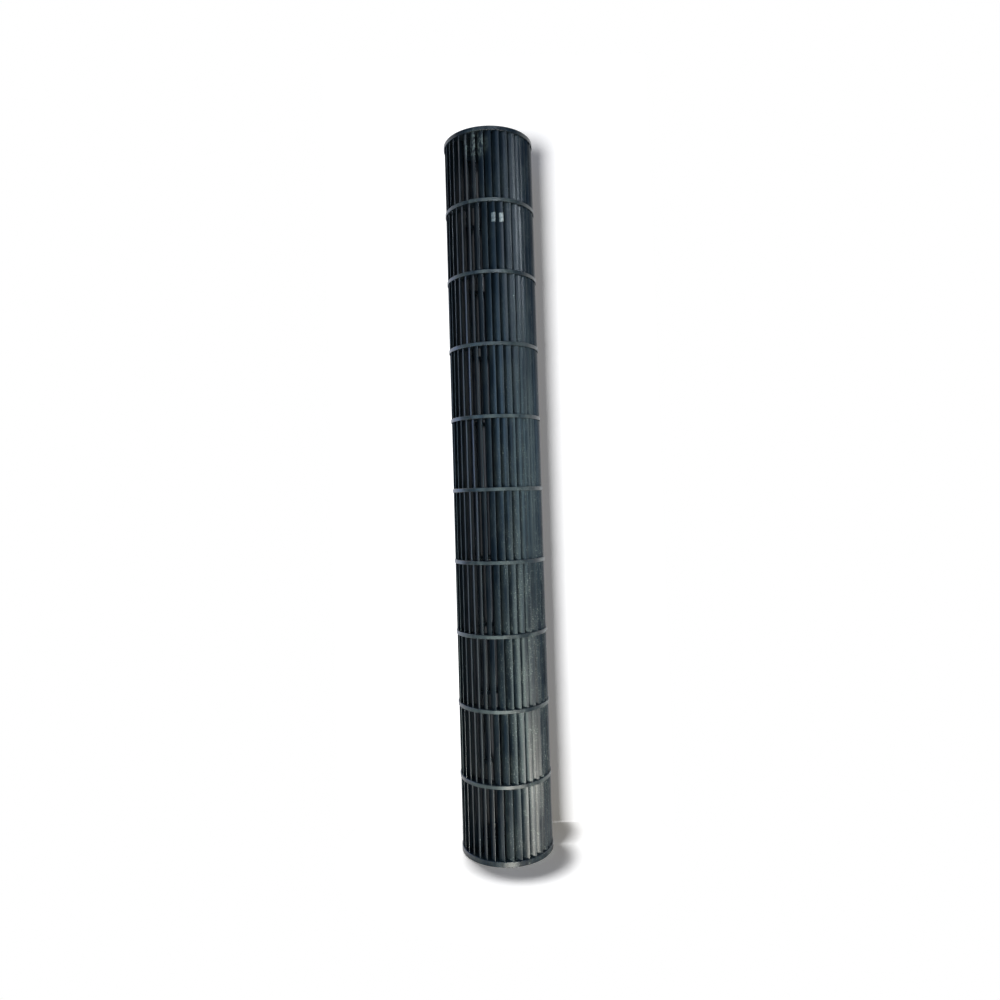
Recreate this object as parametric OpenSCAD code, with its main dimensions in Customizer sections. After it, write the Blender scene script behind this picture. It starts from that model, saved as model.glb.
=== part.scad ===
// Cross-flow fan wheel of a wall-mounted room air conditioner.
// Ten moulded blade sections stand one on another, welded ring to blade ends.
// The motor end is down and the bearing end is up. Millimetres, +Z up, base at z = 0.
// Angles round the wheel start at -Y, which is the front, and grow towards +X.

/* [Wheel] */
// Length of the wheel over its two end discs
wheel_length = 680; // [480:5:900]
// Number of blade sections along the wheel
section_count = 10; // [9:1:14]
// Outer diameter of the rings and end discs
ring_diameter = 87; // [78:0.5:130]
// Width of a ring from its outer edge to its bore
ring_width = 12.5; // [10:0.5:14]
// Height of an intermediate ring
ring_height = 3.5; // [3:0.5:8]
// Bevel on the edges of the rings and discs
ring_bevel = 0.4; // [0.1:0.1:0.8]
// Turn of each section against the one below it, in degrees
section_stagger = 2.64; // [0:0.01:10]

/* [Blades] */
// Number of blade places round one section
blade_count = 35; // [24:1:39]
// How far the middle of a blade's tip stays inside the outer edge of the rings
tip_inset = 0.9; // [0.8:0.1:1.5]
// How far the inner edges of the blades stay outside the bore of the rings
root_inset = 0.4; // [0.3:0.1:1.5]
// Angle between a blade and the wheel's rim at its tip
tip_angle = 25; // [18:1:40]
// Angle between a blade and the ring's bore at its inner edge
root_angle = 90; // [80:1:95]
// Thickness of a blade half way along its arc
blade_thickness = 1.2; // [0.9:0.1:1.6]
// Thickness of a blade at its two edges
blade_edge = 0.7; // [0.55:0.05:0.8]
// Bevel on the corners of those edges
edge_bevel = 0.2; // [0.1:0.05:0.25]
// Place of the first blade's tip in the lowest section, in degrees
first_blade = -34.8; // [-180:0.1:180]

/* [Uneven blade pitch] */
// Slow swing of the blades from an even pitch, in degrees
swing = 1.5; // [0:0.1:3]
// Number of slow swings in one turn
swing_waves = 2; // [1:1:3]
// Phase of the slow swing
swing_phase = -63; // [-180:1:180]
// Quick ripple of the blades from an even pitch, in degrees
ripple = 0.55; // [0:0.05:0.7]
// Number of ripples in one turn
ripple_waves = 7; // [5:1:9]
// Phase of the ripple
ripple_phase = 143; // [-180:1:180]

/* [Weld seats] */
// Depth of the groove under a ring that takes the free ends of the blades
seat_depth = 0.8; // [0.4:0.1:1.5]
// Clearance on each side of the blades in that groove
seat_clearance = 0.1; // [0.05:0.05:0.25]

/* [Motor end disc] */
// Height of the motor end disc at its rim
motor_disc_height = 5; // [4:0.5:9]
// Thickness of the discs' webs
web_thickness = 2.5; // [2:0.5:4]
// How far the outside of a disc's web lies back from its rim
web_recess = 1.2; // [0.5:0.1:1.4]
// Width of the flat rim that the wheel stands on
foot_width = 8; // [5:0.5:12]
// Wall of the socket that holds the hub
socket_wall = 2.8; // [2:0.2:4]
// Height of the lip at the top of the hub socket
socket_lip = 1.4; // [1:0.2:3]
// Number of ribs inside each end disc
rib_count = 6; // [3:1:12]
// Thickness of a rib
rib_thickness = 1.8; // [1.2:0.2:3]
// Place of the blade that is left out to reach the hub's screw
open_blade = 21; // [0:1:34]

/* [Hub] */
// Diameter of the motor shaft that the hub takes
motor_shaft = 8; // [6:0.5:10]
// Outer diameter of the metal sleeve
sleeve_diameter = 16; // [15:0.5:19]
// Length of the metal sleeve
sleeve_length = 26; // [25:1:40]
// How far the sleeve stays back from the foot of the wheel
sleeve_recess = 1; // [0.5:0.5:3]
// Outer diameter of the rubber
rubber_diameter = 32; // [27:0.5:34]
// Height of the rubber and of the carrier ring round it
hub_height = 12; // [8:0.5:14]
// Depth of the waist in each face of the rubber
rubber_waist = 2.5; // [1:0.5:3]
// Width of the thick band of rubber beside the sleeve and the carrier
rubber_band = 1.6; // [1:0.1:2]
// Wall of the carrier ring
carrier_wall = 2.5; // [1.5:0.5:4]
// Clearance between the carrier ring and its socket
carrier_clearance = 0.05; // [0.05:0.05:0.3]

/* [Set screw] */
// Diameter of the set screw's thread
screw_diameter = 5; // [3:0.5:5.5]
// Height of the screw's axis above the hub's carrier ring
screw_rise = 7; // [5:0.5:9]
// How far the screw's tip stays out of the sleeve's bore
screw_backoff = 0.3; // [0.2:0.1:1]
// How far the screw's head stands off the sleeve
head_standoff = 1.5; // [0.5:0.5:3]
// Diameter of the screw's head
head_diameter = 8; // [6:0.5:9]
// Height of the screw's head
head_height = 3; // [2:0.5:5]
// Width of the cross slots in the head
slot_width = 1.2; // [0.8:0.1:1.8]
// Depth of the cross slots in the head
slot_depth = 1.6; // [1:0.1:1.8]

/* [Bearing end cap] */
// Height of the bearing end cap at its rim
cap_height = 4; // [4:0.5:9]
// Diameter of the boss round the shaft, inside the wheel
boss_diameter = 22; // [16:1:30]
// Length of that boss below the web
boss_length = 12; // [8:1:20]
// Diameter of the collar round the shaft, outside the wheel
collar_diameter = 15; // [12:1:24]
// Height of that collar above the web
collar_height = 2.4; // [1.5:0.1:6]
// Diameter of the stub shaft where it runs in its bearing
journal_diameter = 8; // [6:0.5:10]
// Diameter of the shaft's root, which is moulded into the cap
shaft_root_diameter = 10; // [10:0.5:11]
// How far the shaft stands out of the wheel
journal_length = 16; // [8:1:18]
// Plastic left under the moulded-in end of the shaft
shaft_floor = 2; // [1.5:0.5:4]
// Depth of the grooves that lock the shaft in the boss
lock_groove = 0.5; // [0.3:0.1:0.8]
// Bevel on the shaft's free end
shaft_bevel = 0.7; // [0.3:0.1:1]

/* [Balance clips] */
// Section that carries the clips, counted from the bottom
clip_section = 9; // [2:1:9]
// Blade that carries the first clip
clip_blade = 6; // [0:1:33]
// Height of a clip
clip_height = 8.6; // [5:0.2:20]
// How far a clip reaches in from the blade's tip
clip_reach = 3.6; // [2.4:0.2:6]
// Thickness of the clips' sheet metal
clip_sheet = 0.4; // [0.2:0.05:0.5]
// Clearance between a clip and its blade
clip_clearance = 0.03; // [0.02:0.01:0.05]
// Distance from the ring above down to a clip's top edge
clip_drop = 10.6; // [2:0.1:20]

/* [Hidden] */
$fn = 96;
OVERLAP = 1;

ring_r = ring_diameter / 2;
bore_r = ring_r - ring_width;
tip_r = ring_r - tip_inset;
root_r = bore_r + root_inset;

section_pitch = (wheel_length - motor_disc_height - cap_height + ring_height) / section_count;
blade_span = section_pitch - ring_height;
cap_z = wheel_length - cap_height;

// The blade's middle line is one arc that meets the tip circle and the root circle at
// the two blade angles. Its centre is arc_centre_r from the wheel's axis.
arc_r = (tip_r * tip_r - root_r * root_r)
    / (2 * (tip_r * cos(tip_angle) - root_r * cos(root_angle)));
arc_centre_r = sqrt(tip_r * tip_r + arc_r * arc_r - 2 * tip_r * arc_r * cos(tip_angle));
tip_lead = polar_angle(tip_r);
root_lead = polar_angle(root_r);
blade_sweep = root_lead - tip_lead;
tip_bearing = arc_bearing(tip_r, tip_lead);
root_bearing = arc_bearing(root_r, root_lead);
mid_bearing = (tip_bearing + root_bearing) / 2;
half_turn = (root_bearing - tip_bearing) / 2;

// Shifting the two faces' centres apart makes the blade thick in the middle and thin
// at both edges.
face_shift = (blade_thickness - blade_edge) / (2 * (1 - cos(half_turn)));
convex_r = arc_r + blade_thickness / 2 - face_shift;
concave_r = arc_r - blade_thickness / 2 + face_shift;

seat_in_r = root_r - seat_clearance;
seat_out_r = tip_r + blade_edge / 2 + seat_clearance;
rib_end_r = (bore_r + seat_in_r) / 2;
foot_r = ring_r - foot_width;

sleeve_r = sleeve_diameter / 2;
rubber_r = rubber_diameter / 2;
carrier_r = rubber_r + carrier_wall;
socket_r = carrier_r + carrier_clearance;
socket_outer_r = socket_r + socket_wall;
hub_z = web_recess;
hub_top_z = hub_z + hub_height;
screw_z = hub_top_z + screw_rise;
screw_tip = motor_shaft / 2 + screw_backoff;
head_seat = sleeve_r + head_standoff;
// The screw points along the middle of the way left by the missing blade
screw_way = (tip_place(open_blade - 1) + tip_place(open_blade + 1) - blade_sweep) / 2;

boss_r = boss_diameter / 2;
cap_web_top = wheel_length - web_recess;
cap_web_bottom = cap_web_top - web_thickness;
boss_bottom = cap_web_bottom - boss_length;
collar_top = cap_web_top + collar_height;
journal_r = journal_diameter / 2;
shaft_root_r = shaft_root_diameter / 2;
shaft_bottom = boss_bottom + shaft_floor;
shaft_top = wheel_length + journal_length;
groove_pitch = (boss_length - shaft_floor) / 3;

PLASTIC = "#1d2328";
RUBBER = "#17181a";
STEEL = "#9aa0a4";
BRIGHT = "#d5d8da";

function segment_name(k) = str("blade_segment_", k < 10 ? "0" : "", k);

// Angle at the axis between the arc's centre and a point of the arc at radius r
function polar_angle(r) =
    acos((r * r + arc_centre_r * arc_centre_r - arc_r * arc_r) / (2 * r * arc_centre_r));

// Angle that a length along the blade's arc takes at the arc's centre
function arc_degrees(length) = length / arc_r * 180 / PI;

// Direction of that point as seen from the arc's centre
function arc_bearing(r, lead) = atan2(r * sin(lead), r * cos(lead) - arc_centre_r);

// Place of blade i's tip in the lowest section, in degrees from the front. The uneven
// pitch spreads the tone that an even wheel would sing.
function tip_place(i) =
    let (turn = i * 360 / blade_count)
    first_blade + turn
        + swing * sin(swing_waves * turn + swing_phase)
        + ripple * sin(ripple_waves * turn + ripple_phase);

// Underside of section k's blades, with k counted from 1 at the bottom
function section_z(k) = motor_disc_height + (k - 1) * section_pitch;

// Turns a shape drawn along +X to a place given in degrees from the front
module at_place(angle) {
    rotate(angle - 90)
        children();
}

// What lies beyond one end of a blade, with the slopes that bevel its corners. The
// middle line ends at this bearing, and outward is 1 at the tip and -1 at the other end.
module end_cut(bearing, outward, thickness) {
    flat = thickness / 2 - edge_bevel;
    slope = 2 * edge_bevel;
    far = 2 * arc_r;
    rotate(-bearing)
        translate([arc_r, 0])
            polygon([
                [-flat, 0], [flat, 0], [flat + slope, -outward * slope],
                [far, -outward * slope], [far, outward * far], [-far, outward * far],
                [-far, -outward * slope], [-flat - slope, -outward * slope]
            ]);
}

// Outline of a blade with its tip on +X. A positive grow thickens it on both faces, and
// longer moves the tip outwards along the arc. The other end is at the bearing inner.
module blade_outline(grow = 0, longer = 0, inner = root_bearing) {
    middle = [cos(mid_bearing), -sin(mid_bearing)];
    thickness = blade_edge + 2 * grow;
    rotate(tip_lead)
        translate([arc_centre_r, 0])
            difference() {
                translate(face_shift * middle)
                    circle(r = convex_r + grow);
                translate(-face_shift * middle)
                    circle(r = concave_r - grow);
                end_cut(tip_bearing - arc_degrees(longer), 1, thickness);
                end_cut(inner, -1, thickness);
            }
}

// The blades of section k, from inside the ring below to the seat in the ring above
module blades(k, left_out = -1) {
    translate([0, 0, section_z(k) - OVERLAP])
        linear_extrude(height = OVERLAP + blade_span + seat_depth)
            for (i = [0 : blade_count - 1])
                if (i != left_out)
                    at_place(tip_place(i) - (k - 1) * section_stagger)
                        blade_outline();
}

// Ring between two sections, with the weld seat in its underside
module seat_ring() {
    b = ring_bevel;
    rotate_extrude()
        polygon([
            [bore_r, 0], [seat_in_r, 0], [seat_in_r, seat_depth],
            [seat_out_r, seat_depth], [seat_out_r, 0], [ring_r - b / 2, 0],
            [ring_r, b / 2], [ring_r, ring_height - b], [ring_r - b, ring_height],
            [bore_r, ring_height]
        ]);
}

// Ribs on the inside of an end disc's web. They slope from a tube at r_in down to the
// rim, which stands up by low beyond the web.
module ribs(r_in, tall, low) {
    r_out = low > 0 ? rib_end_r : bore_r - OVERLAP;
    for (i = [0 : rib_count - 1])
        rotate((i + 0.5) * 360 / rib_count)
            translate([0, rib_thickness / 2, 0])
                rotate([90, 0, 0])
                    linear_extrude(height = rib_thickness)
                        polygon([
                            [r_in, -OVERLAP], [r_out, -OVERLAP],
                            [r_out, max(0, low)], [r_in, tall]
                        ]);
}

module motor_end_segment() {
    b = ring_bevel;
    web_top = web_recess + web_thickness;
    lip_top = hub_top_z + socket_lip;
    color(PLASTIC) {
        rotate_extrude()
            polygon([
                [socket_r, web_recess], [foot_r, web_recess], [foot_r, 0],
                [ring_r - b, 0], [ring_r, b], [ring_r, motor_disc_height - b],
                [ring_r - b, motor_disc_height], [bore_r, motor_disc_height],
                [bore_r, web_top], [socket_outer_r, web_top],
                [socket_outer_r, lip_top], [rubber_r + carrier_wall / 3, lip_top],
                [rubber_r + carrier_wall / 3, hub_top_z], [socket_r, hub_top_z]
            ]);
        translate([0, 0, web_top])
            ribs(socket_outer_r - socket_wall / 2, hub_top_z - web_top,
                motor_disc_height - web_top);
        blades(1, open_blade);
    }
}

module blade_segment(k) {
    color(PLASTIC) {
        translate([0, 0, section_z(k) - ring_height])
            seat_ring();
        blades(k);
    }
}

module bearing_end_cap() {
    b = ring_bevel;
    color(PLASTIC)
        difference() {
            union() {
                rotate_extrude()
                    polygon([
                        [0, boss_bottom], [boss_r, boss_bottom], [boss_r, cap_web_bottom],
                        [bore_r, cap_web_bottom], [bore_r, cap_z], [seat_in_r, cap_z],
                        [seat_in_r, cap_z + seat_depth], [seat_out_r, cap_z + seat_depth],
                        [seat_out_r, cap_z], [ring_r - b / 2, cap_z], [ring_r, cap_z + b / 2],
                        [ring_r, wheel_length - b], [ring_r - b, wheel_length],
                        [foot_r, wheel_length], [foot_r, cap_web_top],
                        [collar_diameter / 2, cap_web_top], [collar_diameter / 2, collar_top],
                        [0, collar_top]
                    ]);
                translate([0, 0, cap_web_bottom])
                    mirror([0, 0, 1])
                        ribs(boss_r - OVERLAP, boss_length * 0.75, cap_web_bottom - cap_z);
            }
            shaft_form();
        }
}

// Form of the stub shaft. Its root is moulded into the cap up to the collar's top, and
// two grooves lock it there.
module shaft_form() {
    rotate_extrude()
        polygon(concat(
            [[0, shaft_bottom], [shaft_root_r, shaft_bottom]],
            [for (i = [1 : 2]) each lock_groove_points(shaft_bottom + i * groove_pitch)],
            [
                [shaft_root_r, collar_top], [journal_r, collar_top],
                [journal_r, shaft_top - shaft_bevel], [journal_r - shaft_bevel, shaft_top],
                [0, shaft_top]
            ]
        ));
}

// Corners of one locking groove whose lower edge is at z
function lock_groove_points(z) = [
    [shaft_root_r, z], [shaft_root_r - lock_groove, z],
    [shaft_root_r - lock_groove, z + groove_pitch / 2], [shaft_root_r, z + groove_pitch / 2]
];

module stub_shaft() {
    color(STEEL)
        shaft_form();
}

module hub_carrier_ring() {
    color(PLASTIC)
        translate([0, 0, hub_z])
            rotate_extrude()
                translate([rubber_r, 0])
                    square([carrier_wall, hub_height]);
}

module hub_rubber() {
    waist_in = sleeve_r + rubber_band;
    waist_out = rubber_r - rubber_band;
    color(RUBBER)
        translate([0, 0, hub_z])
            rotate_extrude()
                polygon([
                    [sleeve_r, 0], [waist_in, 0], [waist_in + rubber_band, rubber_waist],
                    [waist_out - rubber_band, rubber_waist], [waist_out, 0], [rubber_r, 0],
                    [rubber_r, hub_height], [waist_out, hub_height],
                    [waist_out - rubber_band, hub_height - rubber_waist],
                    [waist_in + rubber_band, hub_height - rubber_waist],
                    [waist_in, hub_height], [sleeve_r, hub_height]
                ]);
}

module hub_sleeve() {
    color(STEEL)
        difference() {
            translate([0, 0, sleeve_recess])
                cylinder(r = sleeve_r, h = sleeve_length);
            translate([0, 0, sleeve_recess - OVERLAP])
                cylinder(d = motor_shaft, h = sleeve_length + 2 * OVERLAP);
            at_screw()
                cylinder(d = screw_diameter, h = sleeve_r + OVERLAP);
        }
}

// Turns +Z to the screw's axis, which points out through the gap of the missing blade
module at_screw() {
    at_place(screw_way)
        translate([0, 0, screw_z])
            rotate([0, 90, 0])
                children();
}

module set_screw() {
    color(BRIGHT)
        at_screw()
            difference() {
                union() {
                    translate([0, 0, screw_tip])
                        cylinder(d = screw_diameter, h = head_seat - screw_tip + OVERLAP);
                    translate([0, 0, head_seat])
                        cylinder(d = head_diameter, h = head_height);
                }
                for (turn = [0, 90])
                    rotate(turn)
                        translate([0, 0, head_seat + head_height - slot_depth / 2 + OVERLAP / 2])
                            cube([head_diameter * 0.7, slot_width, slot_depth + OVERLAP],
                                center = true);
            }
}

// Spring clip pushed over a blade's tip: two legs that follow the blade's faces, joined
// by a bend just outside the tip
module balance_clip(blade) {
    top = section_z(clip_section) + blade_span - clip_drop;
    leg = clip_clearance + clip_sheet;
    legs_end = tip_bearing + arc_degrees(clip_reach);
    color(BRIGHT)
        translate([0, 0, top - clip_height])
            linear_extrude(height = clip_height)
                at_place(tip_place(blade) - (clip_section - 1) * section_stagger)
                    difference() {
                        blade_outline(leg, leg, legs_end);
                        blade_outline(clip_clearance, clip_clearance);
                    }
}

module balance_clip_1() {
    balance_clip(clip_blade);
}

module balance_clip_2() {
    balance_clip(clip_blade + 1);
}

motor_end_segment();
for (k = [2 : section_count])
    blade_segment(k);
bearing_end_cap();
stub_shaft();
hub_carrier_ring();
hub_rubber();
hub_sleeve();
set_screw();
balance_clip_1();
balance_clip_2();
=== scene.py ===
"""Looks for the cross-flow fan wheel: its plastic, rubber and metal, the camera and the light.

Everything is in metres in the wheel's own frame: +Z up along the axis, -Y towards the camera.
"""

import math

import bpy
from mathutils import Matrix, Vector


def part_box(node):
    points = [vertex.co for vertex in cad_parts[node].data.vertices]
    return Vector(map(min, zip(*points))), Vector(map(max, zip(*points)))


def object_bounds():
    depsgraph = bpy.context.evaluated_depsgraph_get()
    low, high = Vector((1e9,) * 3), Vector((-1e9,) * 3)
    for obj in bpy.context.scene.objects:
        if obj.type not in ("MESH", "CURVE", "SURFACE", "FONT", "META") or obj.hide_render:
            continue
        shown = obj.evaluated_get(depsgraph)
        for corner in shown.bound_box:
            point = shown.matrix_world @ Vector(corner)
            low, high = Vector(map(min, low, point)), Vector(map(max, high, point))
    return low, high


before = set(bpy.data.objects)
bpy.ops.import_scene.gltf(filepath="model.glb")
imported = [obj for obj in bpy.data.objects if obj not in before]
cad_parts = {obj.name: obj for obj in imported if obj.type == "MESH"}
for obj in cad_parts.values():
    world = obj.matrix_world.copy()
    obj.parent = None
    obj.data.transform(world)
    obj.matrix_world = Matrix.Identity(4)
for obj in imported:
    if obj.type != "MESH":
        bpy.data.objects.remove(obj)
cad_low, cad_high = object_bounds()

MM = 0.001

# The wheel
WHEEL_RADIUS = cad_high.x
WHEEL_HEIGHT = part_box("bearing_end_cap")[1].z
SMUDGE_PLACE = (-0.014, -0.041, 0.664)
FAN_PLASTIC_NODES = ["motor_end_segment", "bearing_end_cap"] + sorted(
    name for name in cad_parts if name.startswith("blade_segment")
)

# The white card under and behind it. The glow keeps the card's shadow from going black.
CARDS = ("floor_front", "floor_back", "wall")
CARD_GLOW = (0.200, 0.185, 0.150, 1.0)
WHITE = (1, 1, 1, 1)
FLOOR_RADIUS = 0.16
WALL_GAP = 4 * MM
WALL_WIDTH = 0.34
WALL_HEIGHT = 0.80

# Settings that many nodes share
SMOOTH = {"interpolation_type": "SMOOTHSTEP"}
TIMES = {"operation": "MULTIPLY"}
PLUS = {"operation": "ADD"}
LARGER = {"operation": "MAXIMUM"}
COLOURS = {"data_type": "RGBA"}


# ---------------------------------------------------------------- small tools


def linear(hex_colour):
    """Linear RGBA of an sRGB hex colour such as #1d2328."""
    channels = [int(hex_colour[i : i + 2], 16) / 255 for i in (1, 3, 5)]
    return [
        c / 12.92 if c <= 0.04045 else ((c + 0.055) / 1.055) ** 2.4 for c in channels
    ] + [1.0]


def add(tree, kind, settings=None, **inputs):
    """Adds a node. An input is named by its socket, or by its number as in i0, and holds a
    value, the socket that feeds it, or a node whose first live output feeds it."""
    node = tree.nodes.new(kind)
    for name, value in (settings or {}).items():
        setattr(node, name, value)
    for name, value in inputs.items():
        number = name[1:]
        key = int(number) if name[0] == "i" and number.isdigit() else name.replace("_", " ")
        socket = node.inputs[key]
        if isinstance(value, bpy.types.Node):
            value = next(out for out in value.outputs if out.enabled)
        if isinstance(value, bpy.types.NodeSocket):
            tree.links.new(value, socket)
        else:
            socket.default_value = value
    return node


def new_material(name):
    """A material with no nodes yet, and its tree."""
    material = bpy.data.materials.new(name)
    material.use_nodes = True
    material.node_tree.nodes.clear()
    return material, material.node_tree


# ---------------------------------------------------------------- camera


def make_camera():
    """A close wide-angle view at about half the wheel's height, rolled a little. The focal
    length is a share of the sensor's width."""
    distance = 0.7203
    height = 0.3305
    focal = 0.7390
    pitch = math.radians(2.153)
    roll = math.radians(1.671)
    camera = bpy.data.cameras.new("camera")
    camera.sensor_width = 36.0
    camera.lens = focal * camera.sensor_width
    camera.shift_x = 0.0029
    camera.shift_y = -0.0278
    camera.clip_start = 0.01
    camera.clip_end = 20.0
    forward = Vector((0, math.cos(pitch), math.sin(pitch)))
    level_up = Vector((0, -math.sin(pitch), math.cos(pitch)))
    across = Vector((1, 0, 0))
    right = math.cos(roll) * across - math.sin(roll) * level_up
    up = math.cos(roll) * level_up + math.sin(roll) * across
    turn = Matrix((right, up, -forward)).transposed().to_4x4()
    holder = bpy.data.objects.new("camera", camera)
    holder.matrix_world = Matrix.Translation((0, -distance, height)) @ turn
    bpy.context.scene.collection.objects.link(holder)
    bpy.context.scene.camera = holder


# ---------------------------------------------------------------- light and backdrop


def area_light(name, place, target, size, watts, colour, card=None):
    """A square lamp that the camera can't see. It lights the wheel, or only the card named."""
    light = bpy.data.lights.new(name, "AREA")
    light.shape = "SQUARE"
    light.size = size
    light.energy = watts
    light.color = linear(colour)[:3]
    holder = bpy.data.objects.new(name, light)
    direction = Vector(target) - Vector(place)
    holder.rotation_euler = direction.to_track_quat("-Z", "Y").to_euler()
    holder.location = place
    holder.visible_camera = False
    bpy.context.scene.collection.objects.link(holder)
    receivers = bpy.data.collections.new(name + "_receivers")
    for sheet in [card] if card else CARDS:
        receivers.objects.link(bpy.data.objects[sheet])
    for link in receivers.collection_objects:
        link.light_linking.link_state = "INCLUDE" if card else "EXCLUDE"
    holder.light_linking.receiver_collection = receivers


def make_lights():
    """Soft lamps round the wheel, cooler from the left. Four stand low before its foot, where
    it is brightest, a small one above draws the streaks on the upper sections, and three
    behind light its back and shine in between the blades. Three more light only the card
    and cast the wheel's shadow on the wall and round the foot."""
    middle = (0.0, 0.0, WHEEL_HEIGHT / 2)
    foot = (0.0, 0.0, 0.0)
    low = (0.0, 0.0, 0.05)
    high = (0.0, 0.0, 0.55)
    area_light("low_front", (0.10, -0.80, -0.34), low, 0.17, 7.4, "#fffdf2")
    area_light("low_right", (0.45, -0.65, -0.30), low, 0.24, 3.6, "#fffdf2")
    area_light("low_middle", (-0.20, -0.90, -0.10), middle, 0.25, 2.3, "#eafff4")
    area_light("low_left", (-0.38, -0.85, -0.05), middle, 0.35, 1.8, "#e2f8f0")
    area_light("front_window", (0.0, -1.50, 0.42), middle, 0.45, 4.0, "#c4f1ff")
    area_light("middle_left", (-0.80, -0.80, 0.55), middle, 0.40, 2.2, "#a8d6ff")
    area_light("behind_left", (-0.50, 0.48, 0.45), middle, 0.60, 6.0, "#7fb0ff")
    area_light("behind_right", (0.75, 1.00, 0.50), middle, 0.60, 7.0, "#dcebff")
    area_light("behind", (-0.10, 1.60, 0.70), middle, 0.60, 9.0, "#a4c8ff")
    area_light("middle_right", (0.85, -0.85, 0.42), middle, 0.40, 2.6, "#dafaff")
    area_light("grazing_right", (1.30, -0.25, 0.45), middle, 0.40, 1.2, "#b8e0ff")
    area_light("soft_upper_left", (-0.50, -1.55, 1.05), middle, 0.55, 3.8, "#dceaff")
    area_light("streak_upper_right", (0.26, -0.90, 0.90), high, 0.16, 2.6, "#e6f3ff")
    area_light("wall_shadow", (-0.50, -1.50, 0.17), middle, 0.50, 32.0, "#ffffff", "wall")
    area_light("front_shadow", (-0.10, 0.16, 6.0), foot, 0.14, 305.0, "#ffffff", "floor_front")
    area_light("back_shadow", (-0.15, -0.238, 6.0), foot, 0.14, 305.0, "#ffffff", "floor_back")


def make_world():
    """The camera, glossy things and clear things see it white beside and behind the wheel, as
    the card is. In front of the wheel there is a dim blue room, which also fills the shades."""
    world = bpy.data.worlds.new("studio")
    world.use_nodes = True
    bpy.context.scene.world = world
    tree = world.node_tree
    tree.nodes.clear()
    path = add(tree, "ShaderNodeLightPath")
    coords = add(tree, "ShaderNodeTexCoord")
    split = add(tree, "ShaderNodeSeparateXYZ", i0=coords.outputs["Generated"])
    room = add(tree, "ShaderNodeBackground", Color=linear("#1e3558"), Strength=1.0)
    white = add(tree, "ShaderNodeBackground", Color=WHITE, Strength=1.0)
    behind = add(tree, "ShaderNodeMapRange", SMOOTH, Value=split.outputs["Y"],
                 From_Min=-0.1, From_Max=0.2, To_Min=0.0, To_Max=1.0)
    mirrored = add(tree, "ShaderNodeMixShader", i0=behind, i1=room, i2=white)
    seen = add(tree, "ShaderNodeMath", LARGER,
               i0=path.outputs["Is Camera Ray"], i1=path.outputs["Is Transmission Ray"])
    glossy = add(tree, "ShaderNodeMixShader", i0=path.outputs["Is Glossy Ray"],
                 i1=room, i2=mirrored)
    mixed = add(tree, "ShaderNodeMixShader", i0=seen, i1=glossy, i2=white)
    add(tree, "ShaderNodeOutputWorld", Surface=mixed)


def card_material():
    """White card. The camera, glossy things and clear things see its lit parts white and its
    shadow grey. Matt things find it grey, so that little bounces back into the wheel. From
    behind it can't be seen."""
    material, tree = new_material("white_card")
    path = add(tree, "ShaderNodeLightPath")
    camera_or_clear = add(tree, "ShaderNodeMath", LARGER,
                          i0=path.outputs["Is Camera Ray"], i1=path.outputs["Is Transmission Ray"])
    seen = add(tree, "ShaderNodeMath", LARGER,
               i0=camera_or_clear, i1=path.outputs["Is Glossy Ray"])
    back = add(tree, "ShaderNodeNewGeometry")
    dim = add(tree, "ShaderNodeBsdfDiffuse", Color=linear("#424242"))
    bright = add(tree, "ShaderNodeBsdfDiffuse", Color=WHITE)
    glow = add(tree, "ShaderNodeEmission", Color=CARD_GLOW, Strength=1.0)
    white = add(tree, "ShaderNodeAddShader", i0=bright, i1=glow)
    clear = add(tree, "ShaderNodeBsdfTransparent")
    front = add(tree, "ShaderNodeMixShader", i0=seen, i1=dim, i2=white)
    both = add(tree, "ShaderNodeMixShader", i0=back.outputs["Backfacing"], i1=front, i2=clear)
    add(tree, "ShaderNodeOutputMaterial", Surface=both)
    return material


def half_disc(start, steps=64):
    """Points round half of the floor card's rim, from an angle on."""
    turns = [start + math.pi * step / steps for step in range(steps + 1)]
    return [(FLOOR_RADIUS * math.cos(turn), FLOOR_RADIUS * math.sin(turn), 0) for turn in turns]


def make_backdrop():
    """A round floor of white card in two halves, and a wall of it close behind the wheel, which
    keep its shadow. Past them the camera sees the white world."""
    wall_y = cad_high.y + WALL_GAP
    half = WALL_WIDTH / 2
    wall = [(-half, wall_y, 0), (half, wall_y, 0),
            (half, wall_y, WALL_HEIGHT), (-half, wall_y, WALL_HEIGHT)]
    card = card_material()
    for name, corners in zip(CARDS, (half_disc(math.pi), half_disc(0.0), wall)):
        mesh = bpy.data.meshes.new(name)
        mesh.from_pydata(corners, [], [range(len(corners))])
        mesh.materials.append(card)
        sheet = bpy.data.objects.new(name, mesh)
        bpy.context.scene.collection.objects.link(sheet)
        sheet.visible_shadow = False


# ---------------------------------------------------------------- materials


def from_axis(tree, place):
    """Distance from the wheel's axis."""
    flat = add(tree, "ShaderNodeVectorMath", TIMES, i0=place, i1=(1, 1, 0))
    return add(tree, "ShaderNodeVectorMath", {"operation": "LENGTH"}, i0=flat).outputs["Value"]


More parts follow.
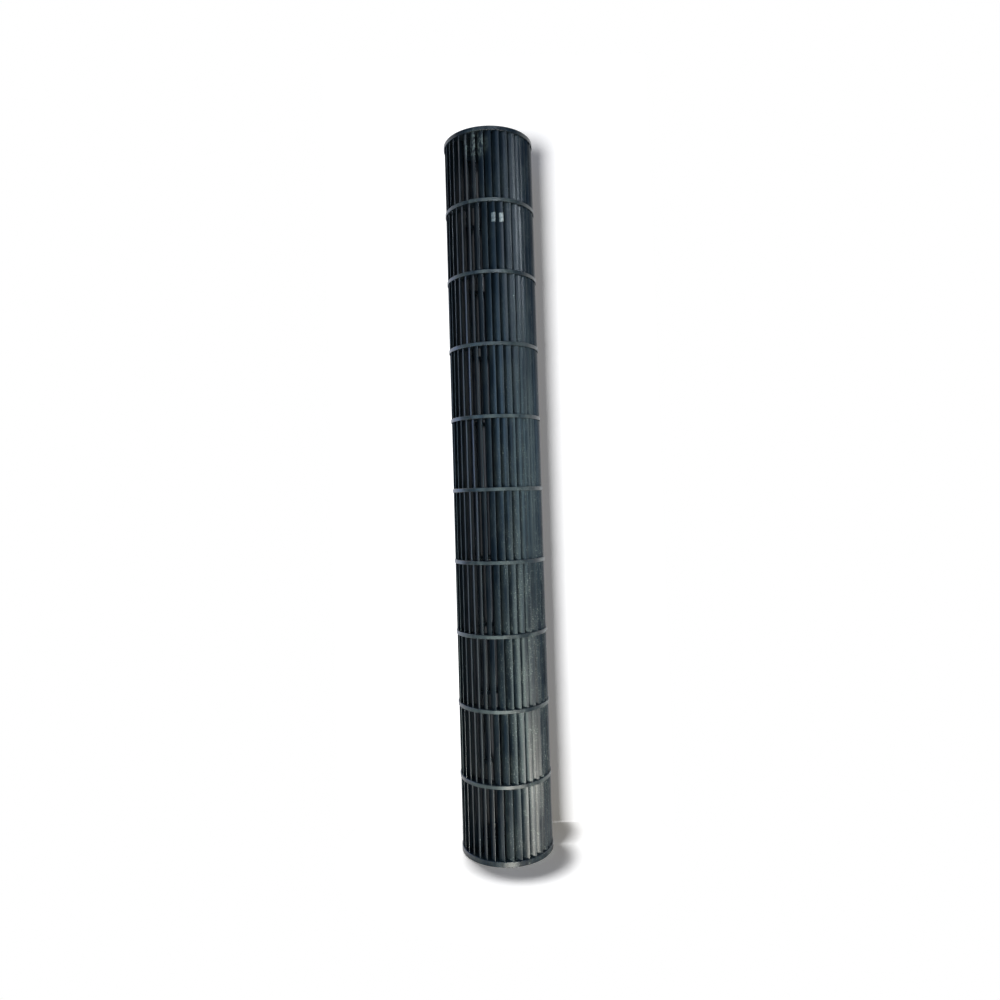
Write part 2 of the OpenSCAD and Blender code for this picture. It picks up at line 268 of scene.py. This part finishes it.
def specks_and_painted_light(tree, place, grain, clouds):
    """Specks on a thin film with bare flecks in it. They lie in patches, most of them on the lower
    sections and on the right side, where the low lamps light the wheel: that lean is painted
    light."""
    specks = add(tree, "ShaderNodeMapRange", SMOOTH, Value=grain,
                 From_Min=0.58, From_Max=0.72, To_Min=0.0, To_Max=1.0)
    thin_with_bare_flecks = add(tree, "ShaderNodeMapRange", SMOOTH, Value=grain,
                                From_Min=0.40, From_Max=0.48, To_Min=0.0, To_Max=0.07)
    lying = add(tree, "ShaderNodeMath", LARGER, i0=specks, i1=thin_with_bare_flecks)
    patches = add(tree, "ShaderNodeMapRange", SMOOTH, Value=clouds,
                  From_Min=0.36, From_Max=0.60, To_Min=0.08, To_Max=0.55)
    parts = add(tree, "ShaderNodeSeparateXYZ", i0=place)
    # Painted light: the specks thicken lower down and on the right side, where the low lamps light
    # the wheel.
    painted_light_low = add(tree, "ShaderNodeMapRange", SMOOTH, Value=parts.outputs["Z"],
                     From_Min=0.15, From_Max=0.50, To_Min=1.0, To_Max=0.25)
    painted_light_right = add(tree, "ShaderNodeMapRange", SMOOTH, Value=parts.outputs["X"],
                   From_Min=-20 * MM, From_Max=12 * MM, To_Min=0.15, To_Max=1.0)
    dust_patches_and_painted_light = add(tree, "ShaderNodeMath", TIMES, i0=patches, i1=painted_light_low)
    dust_patches_and_painted_light = add(tree, "ShaderNodeMath", TIMES, i0=dust_patches_and_painted_light, i1=painted_light_right)
    return add(tree, "ShaderNodeMath", TIMES, i0=lying, i1=dust_patches_and_painted_light)


def rubbed_and_highlit_edges(tree, place, clouds):
    """Light wear and a painted highlight along the blade tips and, in patches, on the rims of the
    rings. There is little of it at the two end discs. The tips lie 0.9 mm inside the rims."""
    radius = from_axis(tree, place)
    # Painted highlight with some wear: the blade tips and ring rims are lightened to show bright
    # edge lines.
    tips = add(tree, "ShaderNodeMapRange", SMOOTH, Value=radius,
               From_Min=WHEEL_RADIUS - 1.3 * MM, From_Max=WHEEL_RADIUS - 0.5 * MM,
               To_Min=0.0, To_Max=0.035)
    rims = add(tree, "ShaderNodeMapRange", SMOOTH, Value=radius,
               From_Min=WHEEL_RADIUS - 0.3 * MM, From_Max=WHEEL_RADIUS - 0.1 * MM,
               To_Min=0.0, To_Max=1.0)
    rim_wear_and_highlight = add(tree, "ShaderNodeMapRange", SMOOTH, Value=clouds,
                   From_Min=0.38, From_Max=0.64, To_Min=0.0, To_Max=0.09)
    rims = add(tree, "ShaderNodeMath", TIMES, i0=rims, i1=rim_wear_and_highlight)
    all_edges = add(tree, "ShaderNodeMath", PLUS, i0=tips, i1=rims)
    height = add(tree, "ShaderNodeSeparateXYZ", i0=place).outputs["Z"]
    above_middle = add(tree, "ShaderNodeMath", {"operation": "SUBTRACT"},
                       i0=height, i1=WHEEL_HEIGHT / 2)
    from_middle = add(tree, "ShaderNodeMath", {"operation": "ABSOLUTE"}, i0=above_middle)
    between_ends = add(tree, "ShaderNodeMapRange", SMOOTH, Value=from_middle,
                       From_Min=WHEEL_HEIGHT / 2 - 12 * MM, From_Max=WHEEL_HEIGHT / 2 - 6 * MM,
                       To_Min=1.0, To_Max=0.1)
    return add(tree, "ShaderNodeMath", TIMES, i0=all_edges, i1=between_ends)


def clotted_smudge(tree, place):
    """One smudge in clots on the front of the top section, about 20 mm across."""
    gap = add(tree, "ShaderNodeVectorMath", {"operation": "DISTANCE"},
              i0=place, i1=SMUDGE_PLACE).outputs["Value"]
    reach = add(tree, "ShaderNodeMapRange", SMOOTH, Value=gap,
                From_Min=4 * MM, From_Max=17 * MM, To_Min=1.0, To_Max=0.0)
    clots = add(tree, "ShaderNodeTexNoise", Vector=place, Scale=1 / (3 * MM), Detail=3.0)
    thickness = add(tree, "ShaderNodeMapRange", SMOOTH, Value=clots,
                    From_Min=0.42, From_Max=0.60, To_Min=0.0, To_Max=0.6)
    return add(tree, "ShaderNodeMath", TIMES, i0=reach, i1=thickness)


def crumbs(tree, place, clouds):
    """A few crumbs of dirt about 1 mm wide, where the dust clouds are thickest."""
    cells = add(tree, "ShaderNodeTexVoronoi", Vector=place, Scale=1 / (9 * MM))
    spots = add(tree, "ShaderNodeMapRange", SMOOTH, Value=cells,
                From_Min=0.05, From_Max=0.08, To_Min=0.6, To_Max=0.0)
    in_clouds = add(tree, "ShaderNodeMapRange", SMOOTH, Value=clouds,
                    From_Min=0.55, From_Max=0.60, To_Min=0.0, To_Max=1.0)
    return add(tree, "ShaderNodeMath", TIMES, i0=spots, i1=in_clouds)


def house_dust_and_painted_light(tree, place, grain):
    """How thick the dust lies, from 0 to 1, with painted light in it: a thin film in soft clouds,
    with specks, rubbed and highlit edges, one smudge and a few crumbs on top. The specks' lean to
    the lower right is painted light, and the light edges are partly a painted highlight."""
    cloud_shape = add(tree, "ShaderNodeMapping", Vector=place, Scale=(1, 1, 0.42))
    clouds = add(tree, "ShaderNodeTexNoise", Vector=cloud_shape, Scale=1 / (11 * MM), Detail=3.0)
    dust = add(tree, "ShaderNodeMapRange", SMOOTH, Value=clouds,
               From_Min=0.35, From_Max=0.75, To_Min=0.0, To_Max=0.035)
    layers = (
        specks_and_painted_light(tree, place, grain, clouds),
        rubbed_and_highlit_edges(tree, place, clouds),
        clotted_smudge(tree, place),
        crumbs(tree, place, clouds),
    )
    for layer in layers:
        dust = add(tree, "ShaderNodeMath", PLUS, i0=dust, i1=layer)
    return dust


def glass_filled_plastic():
    """Black glass-filled styrene plastic, injection moulded. Its skin has faint flow lines along
    the blades and a fine grain. House dust dulls the gloss and shows light on the black; some of
    that lightness is painted light, more towards the lower right and as a painted highlight along
    the blade tips and ring rims."""
    material, tree = new_material("glass_filled_styrene_plastic")
    place = add(tree, "ShaderNodeTexCoord").outputs["Object"]
    flow_shape = add(tree, "ShaderNodeMapping", Vector=place, Scale=(1, 1, 0.023))
    flow = add(tree, "ShaderNodeTexNoise", Vector=flow_shape, Scale=1 / (1.6 * MM), Detail=2.0)
    grain = add(tree, "ShaderNodeTexNoise", Vector=place, Scale=1 / (1.2 * MM), Detail=2.0)
    dust = house_dust_and_painted_light(tree, place, grain)
    flow_tone = add(tree, "ShaderNodeMapRange", SMOOTH, Value=flow,
                    From_Min=0.3, From_Max=0.7, To_Min=0.0, To_Max=1.0)
    skin = add(tree, "ShaderNodeMix", COLOURS, i0=flow_tone,
               i6=linear("#091017"), i7=linear("#0f1a23"))
    # The dust mix lightens the skin. Part of it is painted light towards the lower right and a
    # painted highlight on the blade tips and ring rims.
    colour = add(tree, "ShaderNodeMix", COLOURS, i0=dust, i6=skin, i7=linear("#8b9189"))
    flow_rough = add(tree, "ShaderNodeMapRange", SMOOTH, Value=flow,
                     From_Min=0.25, From_Max=0.75, To_Min=0.29, To_Max=0.37)
    dust_rough = add(tree, "ShaderNodeMath", TIMES, i0=dust, i1=0.6)
    rough = add(tree, "ShaderNodeMath", PLUS, i0=flow_rough, i1=dust_rough)
    sink_shape = add(tree, "ShaderNodeMapping", Vector=place, Scale=(1, 1, 0.2))
    sinks = add(tree, "ShaderNodeTexNoise", Vector=sink_shape, Scale=1 / (6 * MM), Detail=2.0)
    waves = add(tree, "ShaderNodeBump", Strength=1.0, Distance=0.10 * MM, Height=sinks)
    lines = add(tree, "ShaderNodeBump", Strength=1.0, Distance=0.012 * MM, Height=flow,
                Normal=waves)
    relief = add(tree, "ShaderNodeBump", Strength=1.0, Distance=0.015 * MM, Height=grain,
                 Normal=lines)
    shader = add(tree, "ShaderNodeBsdfPrincipled", Base_Color=colour, Roughness=rough,
                 IOR=1.57, Specular_IOR_Level=0.36, Normal=relief)
    add(tree, "ShaderNodeOutputMaterial", Surface=shader)
    return material


def carrier_plastic():
    """Black glass-filled nylon, injection moulded: duller and rougher than the wheel, with
    greyish glass fibres showing in the skin."""
    material, tree = new_material("glass_filled_nylon")
    place = add(tree, "ShaderNodeTexCoord").outputs["Object"]
    fibre_shape = add(tree, "ShaderNodeMapping", Vector=place, Scale=(1, 0.17, 0.17))
    fibres = add(tree, "ShaderNodeTexNoise", Vector=fibre_shape, Scale=1 / (0.3 * MM), Detail=3.0)
    clouds = add(tree, "ShaderNodeTexNoise", Vector=place, Scale=1 / (6 * MM), Detail=2.0)
    cloud_tone = add(tree, "ShaderNodeMapRange", SMOOTH, Value=clouds,
                     From_Min=0.3, From_Max=0.7, To_Min=0.0, To_Max=1.0)
    skin = add(tree, "ShaderNodeMix", COLOURS, i0=cloud_tone,
               i6=linear("#15181a"), i7=linear("#1e2224"))
    fibre_show = add(tree, "ShaderNodeMapRange", SMOOTH, Value=fibres,
                     From_Min=0.58, From_Max=0.78, To_Min=0.0, To_Max=0.25)
    colour = add(tree, "ShaderNodeMix", COLOURS, i0=fibre_show, i6=skin, i7=linear("#5b6061"))
    rough = add(tree, "ShaderNodeMapRange", SMOOTH, Value=clouds,
                From_Min=0.2, From_Max=0.8, To_Min=0.50, To_Max=0.62)
    relief = add(tree, "ShaderNodeBump", Strength=1.0, Distance=0.03 * MM, Height=fibres)
    shader = add(tree, "ShaderNodeBsdfPrincipled", Base_Color=colour, IOR=1.53,
                 Roughness=rough, Normal=relief)
    add(tree, "ShaderNodeOutputMaterial", Surface=shader)
    return material


def hub_rubber():
    """Black nitrile rubber, compression moulded: matt, with a fine grain, a grey bloom in
    patches, and dust."""
    material, tree = new_material("nitrile_rubber")
    place = add(tree, "ShaderNodeTexCoord").outputs["Object"]
    grain = add(tree, "ShaderNodeTexNoise", Vector=place, Scale=1 / (0.35 * MM), Detail=3.0)
    bloom = add(tree, "ShaderNodeTexNoise", Vector=place, Scale=1 / (4.5 * MM), Detail=4.0)
    bloom_tone = add(tree, "ShaderNodeMapRange", SMOOTH, Value=bloom,
                     From_Min=0.45, From_Max=0.75, To_Min=0.0, To_Max=1.0)
    skin = add(tree, "ShaderNodeMix", COLOURS, i0=bloom_tone,
               i6=linear("#121213"), i7=linear("#2b2c2c"))
    dust = add(tree, "ShaderNodeMapRange", SMOOTH, Value=grain,
               From_Min=0.62, From_Max=0.78, To_Min=0.0, To_Max=0.2)
    colour = add(tree, "ShaderNodeMix", COLOURS, i0=dust, i6=skin, i7=linear("#77776f"))
    rough = add(tree, "ShaderNodeMapRange", SMOOTH, Value=bloom,
                From_Min=0.3, From_Max=0.7, To_Min=0.68, To_Max=0.86)
    relief = add(tree, "ShaderNodeBump", Strength=1.0, Distance=0.04 * MM, Height=grain)
    shader = add(tree, "ShaderNodeBsdfPrincipled", Base_Color=colour, IOR=1.52,
                 Roughness=rough, Normal=relief)
    add(tree, "ShaderNodeOutputMaterial", Surface=shader)
    return material


def machined_metal(name, light, dark, line, rough, depth):
    """Bright metal machined as it turned. Fine rings, a line apart and this deep, run round the
    wheel's axis on its sides and end faces, under soft stains."""
    material, tree = new_material(name)
    place = add(tree, "ShaderNodeTexCoord").outputs["Object"]
    along = add(tree, "ShaderNodeSeparateXYZ", i0=place).outputs["Z"]
    run = add(tree, "ShaderNodeMath", PLUS, i0=along, i1=from_axis(tree, place))
    rings = add(tree, "ShaderNodeTexNoise", {"noise_dimensions": "1D"}, W=run,
                Scale=1 / line, Detail=2.0)
    stains = add(tree, "ShaderNodeTexNoise", Vector=place, Scale=1 / (3.5 * MM), Detail=4.0)
    stain_tone = add(tree, "ShaderNodeMapRange", SMOOTH, Value=stains,
                     From_Min=0.40, From_Max=0.72, To_Min=0.0, To_Max=1.0)
    colour = add(tree, "ShaderNodeMix", COLOURS, i0=stain_tone, i6=linear(light), i7=linear(dark))
    ring_rough = add(tree, "ShaderNodeMapRange", SMOOTH, Value=rings,
                     From_Min=0.3, From_Max=0.7, To_Min=rough - 0.06, To_Max=rough + 0.06)
    stain_rough = add(tree, "ShaderNodeMapRange", SMOOTH, Value=stains,
                      From_Min=0.45, From_Max=0.75, To_Min=0.0, To_Max=0.12)
    worn = add(tree, "ShaderNodeMath", PLUS, i0=ring_rough, i1=stain_rough)
    relief = add(tree, "ShaderNodeBump", Strength=1.0, Distance=depth, Height=rings)
    shader = add(tree, "ShaderNodeBsdfPrincipled", Base_Color=colour, Metallic=1.0,
                 Roughness=worn, Normal=relief)
    add(tree, "ShaderNodeOutputMaterial", Surface=shader)
    return material


def zinc_plate():
    """Steel plated with bright zinc and passivated: a fine sparkle and a faint yellow and blue
    cast in patches."""
    material, tree = new_material("zinc_plated_steel")
    place = add(tree, "ShaderNodeTexCoord").outputs["Object"]
    cast = add(tree, "ShaderNodeTexNoise", Vector=place, Scale=1 / (1.8 * MM), Detail=3.0)
    sparkle = add(tree, "ShaderNodeTexNoise", Vector=place, Scale=1 / (0.25 * MM), Detail=2.0)
    cast_tone = add(tree, "ShaderNodeMapRange", SMOOTH, Value=cast,
                    From_Min=0.35, From_Max=0.65, To_Min=0.0, To_Max=1.0)
    colour = add(tree, "ShaderNodeMix", COLOURS, i0=cast_tone,
                 i6=linear("#c9c4a6"), i7=linear("#b4bcc6"))
    rough = add(tree, "ShaderNodeMapRange", SMOOTH, Value=cast,
                From_Min=0.3, From_Max=0.7, To_Min=0.26, To_Max=0.40)
    relief = add(tree, "ShaderNodeBump", Strength=1.0, Distance=0.006 * MM, Height=sparkle)
    shader = add(tree, "ShaderNodeBsdfPrincipled", Base_Color=colour, Metallic=1.0,
                 Roughness=rough, Normal=relief)
    add(tree, "ShaderNodeOutputMaterial", Surface=shader)
    return material


def spring_strip():
    """Steel strip rolled and bent into clips: rolling lines along the blade, dulled by a thin
    grey tarnish."""
    material, tree = new_material("rolled_spring_steel")
    place = add(tree, "ShaderNodeTexCoord").outputs["Object"]
    line_shape = add(tree, "ShaderNodeMapping", Vector=place, Scale=(1, 1, 0.04))
    lines = add(tree, "ShaderNodeTexNoise", Vector=line_shape, Scale=1 / (0.25 * MM), Detail=2.0)
    tarnish = add(tree, "ShaderNodeTexNoise", Vector=place, Scale=1 / (2.2 * MM), Detail=3.0)
    tarnish_tone = add(tree, "ShaderNodeMapRange", SMOOTH, Value=tarnish,
                       From_Min=0.35, From_Max=0.7, To_Min=0.0, To_Max=1.0)
    colour = add(tree, "ShaderNodeMix", COLOURS, i0=tarnish_tone,
                 i6=linear("#b4b2a8"), i7=linear("#7c7a74"))
    rough = add(tree, "ShaderNodeMapRange", SMOOTH, Value=lines,
                From_Min=0.3, From_Max=0.7, To_Min=0.44, To_Max=0.56)
    relief = add(tree, "ShaderNodeBump", Strength=1.0, Distance=0.008 * MM, Height=lines)
    shader = add(tree, "ShaderNodeBsdfPrincipled", Base_Color=colour, Metallic=1.0,
                 Roughness=rough, Normal=relief)
    add(tree, "ShaderNodeOutputMaterial", Surface=shader)
    return material


def dress(node, material):
    """Puts a material on a piece."""
    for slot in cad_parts[node].material_slots:
        slot.material = material


def dress_all():
    """Dresses each piece in what it is made of."""
    fan = glass_filled_plastic()
    for node in FAN_PLASTIC_NODES:
        dress(node, fan)
    dress("hub_carrier_ring", carrier_plastic())
    dress("hub_rubber", hub_rubber())
    ground = machined_metal("ground_steel", "#b3b5b6", "#8b8680",
                            line=0.12 * MM, rough=0.26, depth=0.002 * MM)
    dress("stub_shaft", ground)
    turned = machined_metal("turned_aluminium", "#c9cbcd", "#a3a4a3",
                            line=0.35 * MM, rough=0.32, depth=0.008 * MM)
    dress("hub_sleeve", turned)
    dress("set_screw", zinc_plate())
    strip = spring_strip()
    for node in ("balance_clip_1", "balance_clip_2"):
        dress(node, strip)


bpy.context.scene.view_settings.view_transform = "Standard"
make_camera()
make_world()
make_backdrop()
make_lights()
dress_all()
